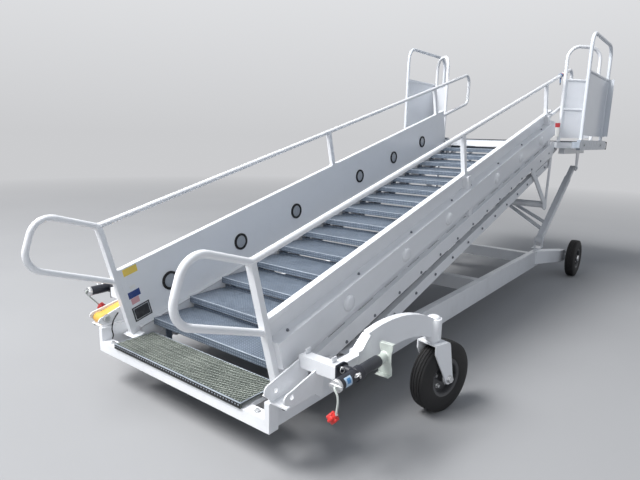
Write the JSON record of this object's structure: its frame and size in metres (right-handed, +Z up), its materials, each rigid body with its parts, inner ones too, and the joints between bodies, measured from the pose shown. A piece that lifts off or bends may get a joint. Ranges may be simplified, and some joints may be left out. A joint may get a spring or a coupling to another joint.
{
  "type": "mobile passenger stairs",
  "caption": "Towable passenger stairs with self-levelling steps, loop handrails, telescopic struts and a guarded top platform.",
  "frame": {"origin": "on the ground under the middle of the bounding box", "axes": "+Y the way a passenger climbs, +X to the climber's right, +Z up"},
  "size_m": [2.1976, 6.0243, 2.5202],
  "materials": {
    "white_paint": "gloss white paint",
    "galvanised": "galvanised, mottled",
    "grey_panel": "satin grey",
    "tyre_rubber": "worn black rubber",
    "rim_grey": "satin dark grey",
    "black_paint": "gloss black paint",
    "zinc": "zinc plated",
    "chrome_rod": "polished",
    "yellow_paint": "satin yellow paint",
    "black_rubber": "matt black rubber",
    "light_housing": "matt black with a grey lens"
  },
  "bodies": {
    "base": {"base_frame": "white_paint", "landing_grating": "galvanised", "chassis_beams": "white_paint", "cross_members": "white_paint", "hitch_bracket_right": "white_paint", "hitch_bracket_left": "white_paint", "front_arm_right": "white_paint", "front_arm_left": "white_paint", "rear_arm_right": "white_paint", "rear_arm_left": "white_paint", "tow_bar": "yellow_paint"},
    "flight": {"stringer_right": "white_paint", "stringer_left": "white_paint", "handrail_right": "white_paint", "handrail_left": "white_paint", "hanger_frame": "white_paint", "step_lights": "light_housing"},
    "platform": {"platform_frame": "white_paint", "platform_deck": "grey_panel", "rear_bumper": "black_rubber", "corner_guard_right": "white_paint", "corner_guard_left": "white_paint"},
    "struts_outer": {"strut_frame": "white_paint"},
    "struts_inner": {"strut_rods": "zinc"},
    "barrel": {"cylinder_barrel": "black_paint"},
    "rod": {"cylinder_rod": "chrome_rod"},
    "lower_rail_right": {"lower_rail_right": "white_paint"},
    "caster_right": {"caster_fork_right": "white_paint"},
    "front_wheel_right": {"front_tyre_right": "tyre_rubber", "front_rim_right": "rim_grey"},
    "rear_wheel_right": {"rear_tyre_right": "tyre_rubber", "rear_rim_right": "rim_grey"},
    "jack_right": {"jack_tube_right": "black_paint"},
    "jack_leg_right": {"jack_foot_right": "zinc"},
    "sliding_guard_right": {"sliding_guard_right": "grey_panel"},
    "lower_rail_left": {"lower_rail_left": "white_paint"},
    "caster_left": {"caster_fork_left": "white_paint"},
    "front_wheel_left": {"front_tyre_left": "tyre_rubber", "front_rim_left": "rim_grey"},
    "rear_wheel_left": {"rear_tyre_left": "tyre_rubber", "rear_rim_left": "rim_grey"},
    "jack_left": {"jack_tube_left": "black_paint"},
    "jack_leg_left": {"jack_foot_left": "zinc"},
    "sliding_guard_left": {"sliding_guard_left": "grey_panel"},
    "step_01": {"step_01": "galvanised"},
    "step_02": {"step_02": "galvanised"},
    "step_03": {"step_03": "galvanised"},
    "step_04": {"step_04": "galvanised"},
    "step_05": {"step_05": "galvanised"},
    "step_06": {"step_06": "galvanised"},
    "step_07": {"step_07": "galvanised"},
    "step_08": {"step_08": "galvanised"},
    "step_09": {"step_09": "galvanised"},
    "step_10": {"step_10": "galvanised"},
    "step_11": {"step_11": "galvanised"},
    "step_12": {"step_12": "galvanised"},
    "step_13": {"step_13": "galvanised"},
    "step_14": {"step_14": "galvanised"},
    "step_15": {"step_15": "galvanised"}
  },
  "joints": [
    {"name": "flight_lift", "type": "hinge", "parent": "base", "child": "flight", "pos_m": [0, -2.16788, 0.3615], "axis": [1, 0, 0], "range_deg": [0, 23]},
    {"name": "lower_rail_lift_right", "type": "hinge", "parent": "base", "child": "lower_rail_right", "pos_m": [0.5975, -2.16788, 0.2165], "axis": [1, 0, 0], "range_deg": [0, 23]},
    {"name": "caster_swivel_right", "type": "hinge", "parent": "base", "child": "caster_right", "pos_m": [0.9875, -1.63531, 0.48], "axis": [0, 0, 1], "continuous": true},
    {"name": "front_wheel_turn_right", "type": "hinge", "parent": "caster_right", "child": "front_wheel_right", "pos_m": [1.008, -1.55488, 0.203], "axis": [0.969, -0.247, 0], "continuous": true},
    {"name": "rear_wheel_turn_right", "type": "hinge", "parent": "base", "child": "rear_wheel_right", "pos_m": [0.881, 2.19712, 0.203], "axis": [1, 0, 0], "continuous": true},
    {"name": "jack_swing_right", "type": "hinge", "parent": "base", "child": "jack_right", "pos_m": [0.895, -2.33788, 0.475], "axis": [1, 0, 0], "range_deg": [-90, 0]},
    {"name": "jack_extend_right", "type": "slide", "parent": "jack_right", "child": "jack_leg_right", "axis": [0, 1, 0], "range_m": [0, 0.1]},
    {"name": "guard_slide_right", "type": "slide", "parent": "platform", "child": "sliding_guard_right", "axis": [0, 1, 0], "range_m": [0, 0.4]},
    {"name": "lower_rail_lift_left", "type": "hinge", "parent": "base", "child": "lower_rail_left", "pos_m": [-0.5975, -2.16788, 0.2165], "axis": [1, 0, 0], "range_deg": [0, 23]},
    {"name": "caster_swivel_left", "type": "hinge", "parent": "base", "child": "caster_left", "pos_m": [-0.9875, -1.63531, 0.48], "axis": [0, 0, 1], "continuous": true},
    {"name": "front_wheel_turn_left", "type": "hinge", "parent": "caster_left", "child": "front_wheel_left", "pos_m": [-1.008, -1.55488, 0.203], "axis": [0.969, 0.247, 0], "continuous": true},
    {"name": "rear_wheel_turn_left", "type": "hinge", "parent": "base", "child": "rear_wheel_left", "pos_m": [-0.881, 2.19712, 0.203], "axis": [1, 0, 0], "continuous": true},
    {"name": "jack_swing_left", "type": "hinge", "parent": "base", "child": "jack_left", "pos_m": [-0.895, -2.33788, 0.475], "axis": [1, 0, 0], "range_deg": [-90, 0]},
    {"name": "jack_extend_left", "type": "slide", "parent": "jack_left", "child": "jack_leg_left", "axis": [0, 1, 0], "range_m": [0, 0.1]},
    {"name": "guard_slide_left", "type": "slide", "parent": "platform", "child": "sliding_guard_left", "axis": [0, 1, 0], "range_m": [0, 0.4]},
    {"name": "step_01_level", "type": "hinge", "parent": "flight", "child": "step_01", "pos_m": [0, -2.22297, 0.34687], "axis": [1, 0, 0], "range_deg": [-23, 0]},
    {"name": "step_02_level", "type": "hinge", "parent": "flight", "child": "step_02", "pos_m": [0, -1.94848, 0.41975], "axis": [1, 0, 0], "range_deg": [-23, 0]},
    {"name": "step_03_level", "type": "hinge", "parent": "flight", "child": "step_03", "pos_m": [0, -1.67399, 0.49264], "axis": [1, 0, 0], "range_deg": [-23, 0]},
    {"name": "step_04_level", "type": "hinge", "parent": "flight", "child": "step_04", "pos_m": [0, -1.3995, 0.56552], "axis": [1, 0, 0], "range_deg": [-23, 0]},
    {"name": "step_05_level", "type": "hinge", "parent": "flight", "child": "step_05", "pos_m": [0, -1.12501, 0.6384], "axis": [1, 0, 0], "range_deg": [-23, 0]},
    {"name": "step_06_level", "type": "hinge", "parent": "flight", "child": "step_06", "pos_m": [0, -0.85052, 0.71128], "axis": [1, 0, 0], "range_deg": [-23, 0]},
    {"name": "step_07_level", "type": "hinge", "parent": "flight", "child": "step_07", "pos_m": [0, -0.57604, 0.78416], "axis": [1, 0, 0], "range_deg": [-23, 0]},
    {"name": "step_08_level", "type": "hinge", "parent": "flight", "child": "step_08", "pos_m": [0, -0.30155, 0.85705], "axis": [1, 0, 0], "range_deg": [-23, 0]},
    {"name": "step_09_level", "type": "hinge", "parent": "flight", "child": "step_09", "pos_m": [0, -0.02706, 0.92993], "axis": [1, 0, 0], "range_deg": [-23, 0]},
    {"name": "step_10_level", "type": "hinge", "parent": "flight", "child": "step_10", "pos_m": [0, 0.24743, 1.00281], "axis": [1, 0, 0], "range_deg": [-23, 0]},
    {"name": "step_11_level", "type": "hinge", "parent": "flight", "child": "step_11", "pos_m": [0, 0.52192, 1.07569], "axis": [1, 0, 0], "range_deg": [-23, 0]},
    {"name": "step_12_level", "type": "hinge", "parent": "flight", "child": "step_12", "pos_m": [0, 0.79641, 1.14857], "axis": [1, 0, 0], "range_deg": [-23, 0]},
    {"name": "step_13_level", "type": "hinge", "parent": "flight", "child": "step_13", "pos_m": [0, 1.0709, 1.22146], "axis": [1, 0, 0], "range_deg": [-23, 0]},
    {"name": "step_14_level", "type": "hinge", "parent": "flight", "child": "step_14", "pos_m": [0, 1.34539, 1.29434], "axis": [1, 0, 0], "range_deg": [-23, 0]},
    {"name": "step_15_level", "type": "hinge", "parent": "flight", "child": "step_15", "pos_m": [0, 1.61988, 1.36722], "axis": [1, 0, 0], "range_deg": [-23, 0]},
    {"name": "platform_level", "type": "hinge", "parent": "flight", "child": "platform", "pos_m": [0, 1.81221, 1.41829], "axis": [1, 0, 0], "range_deg": [-23, 0]},
    {"name": "struts_raise", "type": "hinge", "parent": "base", "child": "struts_outer", "pos_m": [0, 1.66212, 0.45], "axis": [1, 0, 0], "range_deg": [0, 46.77]},
    {"name": "struts_extend", "type": "slide", "parent": "struts_outer", "child": "struts_inner", "axis": [0, 0.8443, 0.5359], "range_m": [0, 0.88]},
    {"name": "cylinder_raise", "type": "hinge", "parent": "base", "child": "barrel", "pos_m": [0, 0.13212, 0.4], "axis": [1, 0, 0], "range_deg": [0, 46.58]},
    {"name": "cylinder_extend", "type": "slide", "parent": "barrel", "child": "rod", "axis": [0, 0.9797, 0.2007], "range_m": [0, 0.524]}
  ],
  "couplings": [
    {"joint": "lower_rail_lift_right", "follows": "flight_lift", "ratio": 1},
    {"joint": "lower_rail_lift_left", "follows": "flight_lift", "ratio": 1},
    {"joint": "step_01_level", "follows": "flight_lift", "ratio": -1},
    {"joint": "step_02_level", "follows": "flight_lift", "ratio": -1},
    {"joint": "step_03_level", "follows": "flight_lift", "ratio": -1},
    {"joint": "step_04_level", "follows": "flight_lift", "ratio": -1},
    {"joint": "step_05_level", "follows": "flight_lift", "ratio": -1},
    {"joint": "step_06_level", "follows": "flight_lift", "ratio": -1},
    {"joint": "step_07_level", "follows": "flight_lift", "ratio": -1},
    {"joint": "step_08_level", "follows": "flight_lift", "ratio": -1},
    {"joint": "step_09_level", "follows": "flight_lift", "ratio": -1},
    {"joint": "step_10_level", "follows": "flight_lift", "ratio": -1},
    {"joint": "step_11_level", "follows": "flight_lift", "ratio": -1},
    {"joint": "step_12_level", "follows": "flight_lift", "ratio": -1},
    {"joint": "step_13_level", "follows": "flight_lift", "ratio": -1},
    {"joint": "step_14_level", "follows": "flight_lift", "ratio": -1},
    {"joint": "step_15_level", "follows": "flight_lift", "ratio": -1},
    {"joint": "platform_level", "follows": "flight_lift", "ratio": -1},
    {"joint": "struts_raise", "follows": "flight_lift", "ratio": 2.0336},
    {"joint": "struts_extend", "follows": "flight_lift", "m_per_rad": 2.1893},
    {"joint": "cylinder_raise", "follows": "flight_lift", "ratio": 2.025},
    {"joint": "cylinder_extend", "follows": "flight_lift", "m_per_rad": 1.3021}
  ]
}
